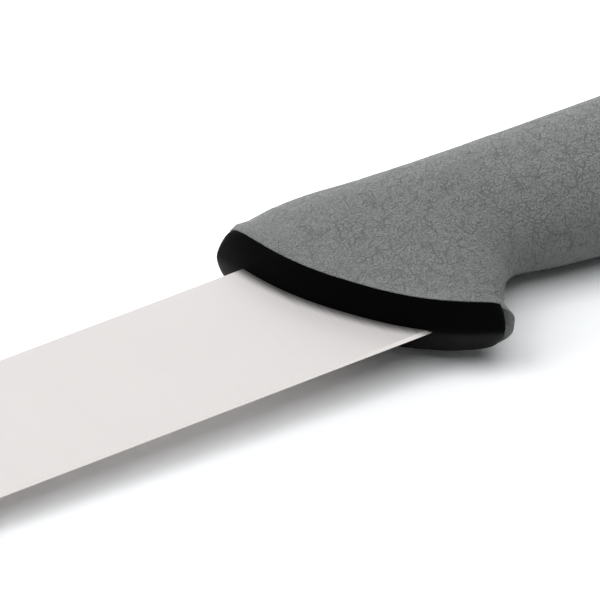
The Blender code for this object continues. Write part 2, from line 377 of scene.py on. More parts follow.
@dataclass(frozen=True)
class MouldedBlack:
    """Hard black plastic with a faint moulded texture, deep black when seen straight on."""

    name: str = "moulded_black"
    colour: tuple[float, float, float] = (0.0014, 0.0014, 0.0015)
    straight_shine: float = 0.03
    shine: float = 0.26
    roughness: float = 0.60
    grain: float = 0.00040
    grain_press: float = 0.8
    relief: float = 0.000016
    wear_scale: float = 260.0
    wear_rough: float = 0.16

    def material(self) -> bpy.types.Material:
        """Builds the material.

        Returns:
            The new material.
        """
        made, sheet = new_material(self.name)
        place = sheet.add("TexCoord").outputs["Object"]
        speck = sheet.noise(place, 1 / self.grain, 3.0)
        wear = sheet.noise(place, self.wear_scale, 2.0)
        bump = sheet.add("Bump", Strength=self.grain_press, Distance=self.relief, Height=speck)
        smoothest = self.roughness - self.wear_rough / 2
        rough = sheet.math("MULTIPLY_ADD", wear, self.wear_rough, smoothest)
        shader = sheet.add(
            "BsdfPrincipled",
            Base_Color=(*self.colour, 1.0),
            Specular_Tint=grey(self.straight_shine),
            Specular_IOR_Level=self.shine,
            Roughness=rough,
            Normal=bump.outputs[0],
        )
        sheet.add("OutputMaterial", Surface=shader.outputs[0])
        return made


@dataclass(frozen=True)
class LeatherGrip:
    """Soft grey plastic moulded with a fine leather grain, smoother near the nose and the spine.

    The grain has wide wrinkles and two sizes of short creases, all bent and broken up, and pores.
    Painted shade darkens the creases.
    """

    name: str = "leather_grip"
    colour: tuple[float, float, float] = (0.233, 0.240, 0.232)
    # The darker grey that painted shade mixes into the creases.
    crease_painted_shade_colour: tuple[float, float, float] = (0.096, 0.101, 0.099)
    roughness: float = 0.58
    specular: float = 0.45
    sheen: float = 0.10
    sheen_roughness: float = 0.3
    wrinkle: float = 0.0032
    wrinkle_half_width: float = 0.05
    wrinkle_bend: tuple[float, float] = (0.0040, 0.0022)
    wrinkle_breaks: tuple[float, float] = (0.42, 0.56)
    creases: tuple[float, float] = (0.00080, 0.00058)
    crease_half_width: float = 0.00011
    crease_bend: tuple[float, float] = (1.6, 0.3)
    crease_break_size: float = 0.55
    crease_breaks: tuple[float, float] = (0.46, 0.60)
    crease_depth: float = 0.85
    crease_layer: float = 0.37
    crease_rough: float = 0.12
    crease_shade: float = 0.80
    faintest: float = 0.10
    pore: float = 0.00055
    pore_share: float = 1.1
    relief: float = 0.00017
    smooth_nose: tuple[float, float] = (-0.112, -0.150)
    nose_grain: float = 0.85
    smooth_spine: tuple[float, float] = (-0.024, -0.004)
    spine_grain: float = 0.75

    def material(self) -> bpy.types.Material:
        """Builds the material.

        Returns:
            The new material.
        """
        made, sheet = new_material(self.name)
        place = sheet.add("TexCoord").outputs["Object"]
        creases = self._grain(sheet, place)
        pores = sheet.noise(place, 1 / self.pore, 2.0)
        depth = sheet.math("MULTIPLY_ADD", pores, self.pore_share, creases)
        bump = sheet.add(
            "Bump",
            {"invert": True},
            Strength=1.0,
            Distance=self.relief,
            Height=depth,
        )
        # Painted shade: the creases' colour is mixed towards a darker grey, as shadow in the
        # relief.
        shade = sheet.math("MULTIPLY", creases, self.crease_shade)
        colour = sheet.mix(shade, (*self.colour, 1.0), (*self.crease_painted_shade_colour, 1.0))
        shader = sheet.add(
            "BsdfPrincipled",
            Base_Color=colour,
            Roughness=sheet.math("MULTIPLY_ADD", creases, self.crease_rough, self.roughness),
            Sheen_Weight=self.sheen,
            Sheen_Roughness=self.sheen_roughness,
            Specular_IOR_Level=self.specular,
            Normal=bump.outputs[0],
        )
        sheet.add("OutputMaterial", Surface=shader.outputs[0])
        return made

    def _grain(self, sheet: NodeSheet, place: bpy.types.NodeSocket) -> bpy.types.NodeSocket:
        """Adds the wide wrinkles and the two networks of short creases.

        Args:
            sheet: The node sheet.
            place: The place on the grip.

        Returns:
            1 in a crease and 0 between creases.
        """
        bent = self._drift(sheet, place, *self.wrinkle_bend)
        creases = self._creases(sheet, bent, self.wrinkle, self.wrinkle_half_width)
        creases = self._broken(sheet, creases, place, self.wrinkle, self.wrinkle_breaks)
        bend_size, bend_reach = self.crease_bend
        for index, size in enumerate(self.creases):
            moved = sheet.vector_math("ADD", place, (0.0, 0.0, self.crease_layer * (index + 1)))
            bent = self._drift(sheet, moved, size * bend_size, size * bend_reach)
            short = self._creases(sheet, bent, size, self.crease_half_width / size)
            break_size = size * self.crease_break_size
            short = self._broken(sheet, short, moved, break_size, self.crease_breaks)
            shallow = sheet.math("MULTIPLY", short, self.crease_depth)
            creases = sheet.math("MAXIMUM", creases, shallow)
        axes = sheet.add("SeparateXYZ", Vector=place).outputs
        from_nose = sheet.ramp(axes["X"], *self.smooth_nose, self.nose_grain, 1.0)
        from_spine = sheet.ramp(axes["Y"], *self.smooth_spine, self.spine_grain, 1.0)
        return sheet.math("MULTIPLY", creases, sheet.math("MULTIPLY", from_nose, from_spine))

    @staticmethod
    def _drift(sheet: NodeSheet, place: bpy.types.NodeSocket, size: float,
               reach: float) -> bpy.types.NodeSocket:
        """Bends coordinates with a noise.

        Args:
            sheet: The node sheet.
            place: The coordinates.
            size: The size of the noise.
            reach: How far it bends them.

        Returns:
            The bent coordinates.
        """
        colour = sheet.add("TexNoise", Vector=place, Scale=1 / size, Detail=2.0).outputs["Color"]
        centred = sheet.vector_math("SUBTRACT", colour, (0.5, 0.5, 0.5))
        shift = sheet.vector_math("MULTIPLY", centred, (2 * reach,) * 3)
        return sheet.vector_math("ADD", place, shift)

    @staticmethod
    def _creases(sheet: NodeSheet, place: bpy.types.NodeSocket, size: float,
                 wide: float) -> bpy.types.NodeSocket:
        """Adds the lines between cells of one size.

        Args:
            sheet: The node sheet.
            place: The coordinates.
            size: How far apart the cells are.
            wide: Half a crease's width as a share of a cell.

        Returns:
            1 in the crease and 0 on the cell.
        """
        edge = sheet.add(
            "TexVoronoi",
            {"feature": "DISTANCE_TO_EDGE"},
            Vector=place,
            Scale=1 / size,
        ).outputs["Distance"]
        return sheet.ramp(edge, 0.0, wide, 1.0, 0.0)

    def _broken(self, sheet: NodeSheet, lines: bpy.types.NodeSocket, place: bpy.types.NodeSocket,
                size: float, breaks: tuple[float, float]) -> bpy.types.NodeSocket:
        """Breaks lines up where a noise is low.

        Args:
            sheet: The node sheet.
            lines: The lines.
            place: The coordinates.
            size: The size of the noise.
            breaks: The noise at which the lines are faintest, and from which they are whole.

        Returns:
            The broken lines.
        """
        patches = sheet.noise(place, 1 / size, 1.0)
        return sheet.math("MULTIPLY", lines, sheet.ramp(patches, *breaks, self.faintest, 1.0))


@dataclass(frozen=True)
class PaleTable:
    """A matt pale table. It shows brighter than it sends light on, as in an overexposed picture.

    Far from the knife it shows plain white, as if the studio's light reached everywhere.
    """

    name: str = "pale_table"
    level: float = 0.90
    seen_level: float = 1.24
    lit_reach: tuple[float, float] = (0.6, 1.3)

    def material(self) -> bpy.types.Material:
        """Builds the material.

        Returns:
            The new material.
        """
        made, sheet = new_material(self.name)
        seen = sheet.seen()
        place = sheet.add("TexCoord").outputs["Object"]
        distance = sheet.math("SQRT", sheet.dot(place, place))
        white = sheet.math("MULTIPLY", sheet.ramp(distance, *self.lit_reach), seen)
        colour = sheet.mix(seen, grey(self.level), grey(self.seen_level))
        matt = sheet.add("BsdfDiffuse", Color=colour)
        glow = sheet.add("Emission", Color=grey(1.0))
        shader = sheet.add("MixShader", Fac=white)
        sheet.put(shader.inputs[1], matt.outputs[0])
        sheet.put(shader.inputs[2], glow.outputs[0])
        sheet.add("OutputMaterial", Surface=shader.outputs[0])
        return made


# Shapes


class Loft:
    """A skin through a row of rings, bridged from one to the next."""

    def __init__(self) -> None:
        """Starts with an empty mesh."""
        self.bm = bmesh.new()
        self.rings: list[list[bmesh.types.BMVert]] = []

    def ring(self, points: Sequence[Vector]) -> None:
        """Adds a ring and bridges it to the one before.

        Args:
            points: The ring's points in order.
        """
        made = bmesh.ops.create_circle(self.bm, segments=len(points), radius=1.0)["verts"]
        for vert, point in zip(made, points):
            vert.co = point
        self.rings.append(made)
        if len(self.rings) > 1:
            self._bridge(self.rings[-2], made)

    def close(self) -> None:
        """Bridges the last ring to the first."""
        self._bridge(self.rings[-1], self.rings[0])

    def cap(self, index: int) -> None:
        """Fills the ring at an index with one face.

        Args:
            index: The ring's place in the row.
        """
        bmesh.ops.contextual_create(self.bm, geom=self._edges(self.rings[index]))

    def finish(self, merge: float = 1e-7) -> bmesh.types.BMesh:
        """Merges folded rings and turns every face outwards.

        Args:
            merge: The distance under which points are one.

        Returns:
            The finished mesh.
        """
        bmesh.ops.remove_doubles(self.bm, verts=self.bm.verts, dist=merge)
        bmesh.ops.dissolve_degenerate(self.bm, edges=self.bm.edges, dist=merge)
        bmesh.ops.recalc_face_normals(self.bm, faces=self.bm.faces)
        return self.bm

    def _bridge(self, near: list[bmesh.types.BMVert], far: list[bmesh.types.BMVert]) -> None:
        """Joins two rings with a band of faces."""
        bmesh.ops.bridge_loops(self.bm, edges=self._edges(near) + self._edges(far))

    @staticmethod
    def _edges(ring: list[bmesh.types.BMVert]) -> list[bmesh.types.BMEdge]:
        """Finds the edges that run round a ring.

        Args:
            ring: The ring's points in order.

        Returns:
            The edges in the same order.
        """
        found = []
        for vert, after in zip(ring, ring[1:] + ring[:1]):
            found += [edge for edge in vert.link_edges if edge.other_vert(vert) is after]
        return found


@dataclass
class Piece:
    """A finished piece of the knife, which stands for one of its solids."""

    name: str
    node: str
    slot: str
    smooth_under: float = math.radians(35)

    def place(self, bm: bmesh.types.BMesh,
              materials: Iterable[bpy.types.Material]) -> bpy.types.Object:
        """Puts a mesh in the scene as this piece.

        Args:
            bm: The piece's mesh, in the knife's frame.
            materials: Its materials in the order of its faces' indices.

        Returns:
            The new object.
        """
        mesh = bpy.data.meshes.new(self.name)
        bm.to_mesh(mesh)
        bm.free()
        mesh.shade_smooth()
        mesh.set_sharp_from_angle(angle=self.smooth_under)
        for material in materials:
            mesh.materials.append(material)
        made = bpy.data.objects.new(self.name, mesh)
        bpy.context.scene.collection.objects.link(made)
        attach(made, BODY)
        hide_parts(self.node)
        return made


@dataclass(frozen=True)
class Section:
    """One section of the handle, seen from above as a line from its spine side to its belly side.

    The distances are shares of the handle's length, the guard's reach, the front's bow and the
    handle's thickness. The corner is 0 for a square outline and 0.5 for an ellipse.
    """

    spine_back: float
    spine_down: float
    belly_back: float
    belly_down: float
    bow: float
    spine_half: float
    belly_half: float
    corner: float

    def blend(self, other: "Section", share: float) -> "Section":
        """A section between this one and another.

        Args:
            other: The other section.
            share: How far towards it, from 0 to 1.

        Returns:
            The section between.
        """
        values = []
        for item in fields(self):
            here = getattr(self, item.name)
            values.append(here + (getattr(other, item.name) - here) * share)
        return Section(*values)


RIDGE = Section(-0.005, -0.177, 0.225, 0.987, 1.0, 0.63, 0.51, 0.090)
HANDLE = (
    Section(0.013, -0.177, 0.225, 0.920, 0.95, 0.63, 0.51, 0.090),
    Section(0.047, -0.214, 0.240, 0.952, 0.82, 0.745, 0.443, 0.256),
    Section(0.090, -0.228, 0.247, 0.843, 0.72, 0.81, 0.495, 0.270),
    Section(0.140, -0.224, 0.277, 0.716, 0.56, 0.855, 0.59, 0.294),
    Section(0.204, -0.208, 0.307, 0.618, 0.41, 0.91, 0.66, 0.357),
    Section(0.276, -0.190, 0.354, 0.567, 0.26, 0.955, 0.75, 0.400),
    Section(0.373, -0.175, 0.434, 0.605, 0.13, 0.98, 0.90, 0.417),
    Section(0.502, -0.160, 0.552, 0.648, 0.0, 1.0, 1.0, 0.417),
    Section(0.645, -0.157, 0.674, 0.640, 0.0, 0.99, 0.99, 0.417),
    Section(0.774, -0.177, 0.796, 0.620, 0.0, 0.97, 0.97, 0.400),
    Section(0.875, -0.187, 0.896, 0.689, -0.13, 0.95, 0.95, 0.385),
    Section(0.946, -0.157, 0.964, 0.772, -0.26, 0.92, 0.90, 0.357),
    Section(0.993, -0.051, 1.0, 0.716, -0.26, 0.75, 0.71, 0.333),
)


@dataclass
class HandleForm:
    """The handle's outer form, which the black core and the grip share."""

    origin: Vector
    length: float = 0.1395
    thickness: float = 0.0214
    guard_reach: float = 0.0395
    bow: float = 0.0078
    bow_power: float = 2.4
    ridge_round: float = 0.0010
    front_corner: float = 0.0009
    nose_corner: float = 0.15
    wall: float = 0.0030
    butt_wall: float = 0.0045
    butt_dome: float = 0.0018
    pad_half_height: float = 0.0060
    pad_half_thickness: float = 0.0035
    search_step: float = 0.05
    steps: int = 100

    @property
    def last(self) -> float:
        """The position of the last section, counted in sections from the parting line."""
        return float(len(HANDLE) - 1)

    def section(self, position: float) -> Section:
        """The section at a position, on a smooth curve through its neighbours.

        Args:
            position: The place, counted in sections from the parting line.

        Returns:
            The section there.
        """
        index = min(int(position), len(HANDLE) - 2)
        t = position - index
        near = [HANDLE[min(max(index + offset, 0), len(HANDLE) - 1)] for offset in (-1, 0, 1, 2)]
        values = []
        for item in fields(Section):
            before, here, after, beyond = (getattr(section, item.name) for section in near)
            slope_in = (after - before) / 2
            slope_out = (beyond - here) / 2
            bend = 3 * (after - here) - 2 * slope_in - slope_out
            rest = 2 * (here - after) + slope_in + slope_out
            values.append(here + slope_in * t + bend * t ** 2 + rest * t ** 3)
        return Section(*values)

    def plan(self, section: Section) -> tuple[Vector, float, Vector, Vector]:
        """Where a section lies, seen from above.

        Args:
            section: The section.

        Returns:
            Its middle, half its length, its direction to the belly side and the way forward.
        """
        reach = self.guard_reach
        spine = Vector((-section.spine_back * self.length, section.spine_down * reach, 0))
        belly = Vector((-section.belly_back * self.length, section.belly_down * reach, 0))
        across = (belly - spine).normalized()
        forward = Vector((across.y, -across.x, 0))
        return self.origin + (spine + belly) / 2, (belly - spine).length / 2, across, forward

    def ring(self, section: Section, inset: float = 0.0, shift: float = 0.0,
             end_inset: float = 0.0, flatten: float = 1.0) -> list[Vector]:
        """The closed ring of a section.

        Args:
            section: The section.
            inset: How far the whole ring is drawn inwards.
            shift: How far it is moved towards the tip.
            end_inset: How far only its two ends are drawn in.
            flatten: Its thickness as a share of the full one.

        Returns:
            The ring's points, from the spine side over the top and back underneath.
        """
        middle, half, across, forward = self.plan(section)
        reach = (half - inset - end_inset) / half
        points = []
        for step in range(2 * self.steps):
            angle = math.pi * step / self.steps
            s = -math.cos(angle)
            along = s * reach
            thick = section.spine_half + (section.belly_half - section.spine_half) * (along + 1) / 2
            corner = max(section.corner, -s * self.nose_corner)
            profile = max(0.0, 1 - abs(s) ** (1 / corner)) ** corner
            side = 1 if angle < math.pi else -1
            bow = section.bow * self.bow * (1 - abs(along) ** self.bow_power)
            up = side * (thick * self.thickness / 2 - inset) * flatten * profile
            place = middle + across * along * half + forward * (bow + shift)
            points.append(place + Vector((0, 0, up)))
        return points

    def front_line(self) -> FrontLine:
        """The line of the front's ridge."""
        middle, half, across, forward = self.plan(RIDGE)
        return FrontLine(middle, half, across, forward, RIDGE.bow * self.bow, self.bow_power)

    def ridge_x(self, y: float) -> float:
        """How far forward the ridge of the front lies.

        Args:
            y: The distance from the spine across the blade.

        Returns:
            The distance in front of the place where the spine leaves the handle.
        """
        middle, half, across, forward = self.plan(RIDGE)
        low, high = -1.0, 1.0
        for _ in range(40):
            along = (low + high) / 2
            bow = RIDGE.bow * self.bow * (1 - abs(along) ** self.bow_power)
            place = middle + across * along * half + forward * bow - self.origin
            low, high = (along, high) if place.y < y else (low, along)
        return place.x

    def outline_points(self) -> list[Vector]:
        """Points all over the handle's smooth outer form."""
        positions = [step / 4 for step in range(int(self.last) * 4 + 1)]
        return [point for position in positions for point in self.ring(self.section(position))]

    def pad(self, shift: float, clearance: float = 0.0) -> list[Vector]:
        """The outline of the black pad in the butt.

        Args:
            shift: How far it is moved forward from the last section.
            clearance: How far it is drawn inwards.

        Returns:
            The ring's points.
        """
        middle, _, across, forward = self.plan(self.section(self.last))
        points = []
        for step in range(2 * self.steps):
            angle = math.pi - math.pi * step / self.steps
            along = math.cos(angle) * (self.pad_half_height - clearance)
            up = math.sin(angle) * (self.pad_half_thickness - clearance)
            points.append(middle + across * along + forward * shift + Vector((0, 0, up)))
        return points

    def inner_end(self) -> tuple[float, float]:
        """Where the hollow of the grip ends.

        Returns:
            The position, and its distance from the last section.
        """
        middle, _, _, forward = self.plan(self.section(self.last))
        position = self.last
        distance = 0.0
        while distance < self.butt_wall:
            position -= self.search_step
            distance = (self.plan(self.section(position))[0] - middle).dot(forward)
        return position, distance


@dataclass
class GrainRelief:
    """The part of the grain that stands in the skin: cells, long folds and a soft unevenness."""

    seed: int = 7
    cell: float = 0.0060
    cell_depth: float = 0.00006
    cell_wander: tuple[tuple[float, float], ...] = ((0.0050, 0.0022), (0.0017, 0.0006))
    cell_patch: float = 0.0070
    crease_share: float = 0.075
    middle_height: float = 0.0107
    side_apart: float = 9.0
    folds: tuple[float, ...] = (-0.62, -0.28, 0.02, 0.34, 0.66)
    fold_wander: float = 0.16
    fold_bends: tuple[tuple[float, float, float], ...] = ((1.0, 0.42, 5.3), (0.25, 2.3, 3.1))
    fold_patch: tuple[float, float] = (1.1, 7.7)
    fold_width: float = 0.00036
    fold_depth: float = 0.00011
    waviness: float = 0.00007
    wave_length: float = 0.009

    def depth(self, place: Vector, position: float, along: float, half: float) -> float:
        """How far the surface lies under the smooth form.

        Args:
            place: A point on the smooth form.
            position: Its section, counted from the parting line.
            along: Its place on the section, from -1 at the spine to 1 at the belly.
            half: Half the section's length.

        Returns:
            The depth.
        """
        wander = Vector((0, 0, 0))
        for size, reach in self.cell_wander:
            wander += noise.noise_vector(place / size) * reach
        near = noise.voronoi((place + wander) / self.cell)[0]
        crease = math.exp(-((near[1] - near[0]) / self.crease_share) ** 2)
        whole = min(1.0, max(0.0, 0.45 + 1.6 * noise.noise(place / self.cell_patch)))
        wave = noise.noise(place / self.wave_length)
        side = math.copysign(self.side_apart, place.z - self.middle_height)
        lines = 0.0
        for index in range(len(self.folds)):
            lines += self._fold(index, position, along, half, side)
        return self.cell_depth * crease * whole + self.fold_depth * lines + self.waviness * wave

    def _fold(self, index: int, position: float, along: float, half: float, side: float) -> float:
        """How deep a point lies in one of the long folds.

        Args:
            index: Which fold it is.
            position: The point's section, counted from the parting line.
            along: Its place on the section, from -1 at the spine to 1 at the belly.
            half: Half the section's length.
            side: A number that differs between the knife's two sides.

        Returns:
            The depth, from 0 to 1.
        """
        bend = 0.0
        for share, pace, apart in self.fold_bends:
            bend += share * noise.noise(Vector((position * pace, index * apart, side)))
        distance = (along - self.folds[index] - self.fold_wander * bend) * half
        pace, apart = self.fold_patch
        patch = noise.noise(Vector((position * pace, index * apart, side)))
        whole = min(1.0, max(0.0, 0.4 + 2.0 * patch))
        return whole * math.exp(-(distance / self.fold_width) ** 2)


@dataclass
class GripCover:
    """The soft grey grip: a tube closed round the core, with the grain in its skin."""

    form: HandleForm
    finish: LeatherGrip = field(default_factory=LeatherGrip)
    relief: GrainRelief = field(default_factory=GrainRelief)
    parting_gap: float = 0.00006
    lip: float = 0.00022
    lip_steps: int = 3
    lip_sections: float = 3.0
    grain_starts: float = 0.8
    grain_ends: float = 0.5
    rings_per_section: int = 30
    inner_rings: int = 20
    butt_steps: int = 14

    def build(self) -> bpy.types.Object:
        """Builds the grip.

        Returns:
            Its object.
        """
        form = self.form
        loft = Loft()
        for step in range(self.lip_steps):
            angle = math.pi / 2 * step / self.lip_steps
            shift = -self.parting_gap - self.lip * (1 - math.cos(angle))
            loft.ring(form.ring(form.section(0), self.lip * (1 - math.sin(angle)), shift))
        count = int(form.last * self.rings_per_section)
        positions = [form.last * step / count for step in range(count + 1)]
        for position in positions:
            early = max(0.0, 1 - position / self.lip_sections) ** 2
            shift = -(self.parting_gap + self.lip) * early
            loft.ring(form.ring(form.section(position), 0.0, shift))
        skin = list(zip(positions, loft.rings[self.lip_steps:]))
        for ring in self._butt():
            loft.ring(ring)
        end, distance = form.inner_end()
        loft.ring(form.pad(distance))
        for step in range(self.inner_rings, -1, -1):
            shift = -self.parting_gap if step == 0 else 0.0
            loft.ring(form.ring(form.section(end * step / self.inner_rings), form.wall, shift))
        loft.close()
        bm = loft.finish()
        self._press_grain(bm, skin)
        return Piece("grip_cover_skin", "grip_cover", "grip").place(bm, [self.finish.material()])

    def _butt(self) -> list[list[Vector]]:
        """Rounds the butt off, down to the hole for the black pad.

        Returns:
            The rings.
        """
        form = self.form
        section = form.section(form.last)
        start = form.ring(section)
        end = form.pad(0)
        forward = form.plan(section)[3]
        rings = []
        for step in range(1, self.butt_steps + 1):
            angle = math.pi / 2 * step / self.butt_steps
            back = forward * -form.butt_dome * math.sin(angle)
            spread = math.cos(angle)
            rings.append([e + (s - e) * spread + back for s, e in zip(start, end)])
        return rings

    def _press_grain(self, bm: bmesh.types.BMesh,
                     skin: list[tuple[float, list[bmesh.types.BMVert]]]) -> None:
        """Presses the grain into the skin, fading out at the parting line and the butt.

        Args:
            bm: The grip's mesh.
            skin: The rings of its outer side, each with its position.
        """
        noise.seed_set(self.relief.seed)
        bm.normal_update()
        moves = []
        for position, ring in skin:
            half = self.form.plan(self.form.section(position))[1]
            to_end = (self.form.last - position) / self.grain_ends
            fade = min(1.0, position / self.grain_starts, to_end)
            for step, vert in enumerate(ring):
                along = -math.cos(math.pi * step / self.form.steps)
                depth = self.relief.depth(vert.co, position, along, half)
                moves.append((vert, vert.normal * -depth * fade))
        for vert, move in moves:
            vert.co += move


@dataclass
class BlackCore:
    """The hard black core: the V of its front, its body inside the grip and its pad in the butt."""

    form: HandleForm
    finish: MouldedBlack = field(default_factory=MouldedBlack)
    front_steps: int = 22
    inner_rings: int = 20
    gap: float = 0.0003
    set_back: float = 0.0001
    pad_gap: float = 0.0001
    pad_edge: float = 0.0002
    pad_round: float = 0.0005
    nose_start: float = 0.60
    nose_round: float = 0.75

    def build(self) -> bpy.types.Object:
        """Builds the core.

        Returns:
            Its object.
        """
        form = self.form
        loft = Loft()
        for ring in self._front():
            loft.ring(ring)
        end, distance = form.inner_end()
        inset = form.wall + self.gap
        for step in range(self.inner_rings + 1):
            section = form.section(end * step / self.inner_rings)
            loft.ring(form.ring(section, inset))
        loft.ring(form.pad(distance + self.gap, self.gap))
        loft.ring(form.pad(-form.butt_dome + self.pad_edge, self.pad_gap))
        loft.ring(form.pad(-form.butt_dome, self.pad_round))
        loft.cap(-1)
        bm = loft.finish()
        piece = Piece("handle_core_moulding", "handle_core", "core_plastic")
        return piece.place(bm, [self.finish.material()])

    def _front(self) -> list[list[Vector]]:
        """Shapes the front, from its rounded ridge back to the parting line.

        Returns:
            The rings.
        """
        form = self.form
        full = (RIDGE.spine_half + RIDGE.belly_half) / 2 * form.thickness / 2
        deepest = math.hypot(full, form.ridge_round) - form.ridge_round
        shares = self._nose_shares()
        rings = []
        for step in range(self.front_steps + 1):
            height = step / self.front_steps
            back = (math.hypot(height * full, form.ridge_round) - form.ridge_round) / deepest
            end_inset = form.front_corner * (1 - math.sqrt(1 - (1 - back) ** 2))
            section = RIDGE.blend(HANDLE[0], back)
            sharp = form.ring(section, self.set_back, 0.0, end_inset, height)
            section = RIDGE.blend(HANDLE[0], 1 - math.sqrt(1 - height ** 2))
            rounded = form.ring(section, self.set_back, 0.0, 0.0, height)
            rings.append([a.lerp(b, share) for a, b, share in zip(sharp, rounded, shares)])
        return rings

    def _nose_shares(self) -> list[float]:
        """How far each point of a ring belongs to the round nose.

        Returns:
            A share for each point, from 0 to 1.
        """
        shares = []
        for step in range(2 * self.form.steps):
            s = -math.cos(math.pi * step / self.form.steps)
            share = min(1.0, max(0.0, (-s - self.nose_start) / (1 - self.nose_start)))
            shares.append(self.nose_round * share * share * (3 - 2 * share))
        return shares


@dataclass
class Blade:
    """The steel blade, from its hidden heel to its round tip.

    The tang is left out, because the handle closes it in.
    """

    form: HandleForm
    edge_finish: HonedSteel = field(default_factory=HonedSteel)
    length: float = 0.360
    width: float = 0.032
    spine_thickness: float = 0.0020
    spine_thickness_at_tip: float = 0.0013
    shoulder_thickness: float = 0.0005
    bevel_height: float = 0.00045
    bevel_at_heel: float = 0.0009
    bold_bevel_end: float = -0.018
    bevel_fade: float = 0.020
    tip_sweep: float = 0.034
    tip_drop: float = 0.008
    tip_corner: float = 0.011
    hidden: float = 0.0045
    clear_of_front: float = 0.006
    spine_round: float = 0.00022
    spine_facet: float = 0.3
    bevel_slack: float = 0.05
    smooth_under: float = math.radians(9)
    heel_steps: int = 8
    straight_steps: int = 24
    tip_steps: int = 48

    def build(self) -> bpy.types.Object:
        """Builds the blade.

        Returns:
            Its object.
        """
        loft = Loft()
        for ring in self._rings():
            loft.ring([self.form.origin + point for point in ring])
        loft.cap(0)
        bm = loft.finish()
        self._mark_bevel(bm)
        side_finish = SatinSteel(self.form.front_line())
        piece = Piece("blade_steel", "blade", "steel", self.smooth_under)
        return piece.place(bm, [side_finish.material(), self.edge_finish.material()])

    def tip_points(self) -> list[Vector]:
        """Points all over the blade's round tip."""
        tip = self._rings()[-self.tip_steps:]
        return [self.form.origin + point for ring in tip for point in ring]

    def _rings(self) -> list[list[Vector]]:
        """Works out the blade's sections from the heel to the tip.

        Returns:
            The rings, counted from where the spine leaves the handle.
        """
        rings = []
        straight_end = self.length - self.tip_sweep
        heel_spine = self.form.ridge_x(0.0) - self.hidden
        heel_edge = self.form.ridge_x(self.width) - self.hidden
        slant = (heel_spine - heel_edge) / self.width
        for step in range(self.heel_steps):
            share = step / self.heel_steps
            spine_x = heel_spine + (self.clear_of_front - heel_spine) * share
            edge_x = heel_edge + (self.clear_of_front - heel_edge) * share
            inwards = Vector((slant * (1 - share), -1, 0))
            rings.append(self._ring(spine_x, 0.0, edge_x, self.width, inwards, 0.0))
        straight = straight_end - self.clear_of_front
        for step in range(self.straight_steps + 1):
            x = self.clear_of_front + straight * step / self.straight_steps
            rings.append(self._ring(x, 0.0, x, self.width, Vector((0, -1, 0)), 0.0))
        height = self.width - self.tip_drop
        for step in range(1, self.tip_steps + 1):
            angle = math.pi / 2 * step / self.tip_steps
            to_tip = self.tip_sweep * (1 - math.sin(angle))
            x = self.length - to_tip
            corner = max(0.0, 1 - to_tip / self.tip_corner)
            spine_y = self.tip_drop * (1 - math.sqrt(1 - corner ** 2))
            edge_y = self.tip_drop + height * math.cos(angle)
            outwards = Vector((math.sin(angle) / self.tip_sweep, math.cos(angle) / height, 0))
            rings.append(self._ring(x, spine_y, x, edge_y, -outwards.normalized(), corner))
        return rings

    def _ring(self, spine_x: float, spine_y: float, edge_x: float, edge_y: float, inwards: Vector,
              closing: float) -> list[Vector]:
        """One section: a rounded spine, two flat sides and the bevel on each side.

        Args:
            spine_x: How far from the handle its spine lies.
            spine_y: Where its spine lies across the blade.
            edge_x: How far from the handle its edge lies.
            edge_y: Where its edge lies across the blade.
            inwards: The way in from the edge.
            closing: 0 on the straight part, up to 1 where the spine meets the edge.

        Returns:
            The ring's points.
        """
        thin = self.shoulder_thickness / 2
        thinning = (self.spine_thickness_at_tip - self.spine_thickness) / 2 / self.length
        half = self.spine_thickness / 2 + thinning * spine_x
        half += (thin - half) * closing ** 2
        fade = min(1.0, max(0.0, 1 - (edge_x - self.bold_bevel_end) / self.bevel_fade))
        bevel = self.bevel_height + (self.bevel_at_heel - self.bevel_height) * fade
        edge = Vector((edge_x, edge_y, 0))
        turn = self.spine_round * (1 - closing)
        upper = [
            Vector((spine_x, spine_y, half - turn)),
            Vector((spine_x, spine_y + turn * self.spine_facet, half - turn * self.spine_facet)),
            Vector((spine_x, spine_y + turn, half)),
            edge + inwards * bevel + Vector((0, 0, thin)),
        ]
        if closing >= 1.0:
            upper = [edge] * len(upper)
            spine_y = edge_y
        lower = [Vector((point.x, point.y, -point.z)) for point in reversed(upper)]
        return [Vector((spine_x, spine_y, 0))] + upper + [edge] + lower

    def _mark_bevel(self, bm: bmesh.types.BMesh) -> None:
        """Gives the bevel's faces the second material.

        Args:
            bm: The blade's mesh.
        """
        middle = self.form.origin.z
        thin = self.shoulder_thickness / 2
        highest = thin * (1 + self.bevel_slack)
        lowest = thin * self.bevel_slack
        for face in bm.faces:
            heights = [abs(vert.co.z - middle) for vert in face.verts]
            if len(face.verts) < 5 and max(heights) < highest and min(heights) < lowest:
                face.material_index = 1


# Studio


@dataclass(frozen=True)
class SoftLamp:
    """A square soft lamp, aimed at the front of the handle."""

    name: str
    side: tuple[float, float, float]
    size: float
    strength: float
    tint: tuple[float, float, float] = (0.985, 1.0, 1.01)
    distance: float = 1.9

    def build(self, target: Vector) -> None:
        """Builds the lamp.

        Args:
            target: The point that it is aimed at.
        """
        light = bpy.data.lights.new(self.name, "AREA")
        light.shape = "SQUARE"
        light.size = self.size
        light.color = self.tint
        light.energy = self.strength * (math.pi * self.distance) ** 2
        lamp = bpy.data.objects.new(self.name, light)
        away = Vector(self.side).normalized()
        lamp.location = target + away * self.distance
        lamp.rotation_mode = "QUATERNION"
        lamp.rotation_quaternion = away.to_track_quat("Z", "Y")
        lamp.visible_glossy = False
        bpy.context.scene.collection.objects.link(lamp)


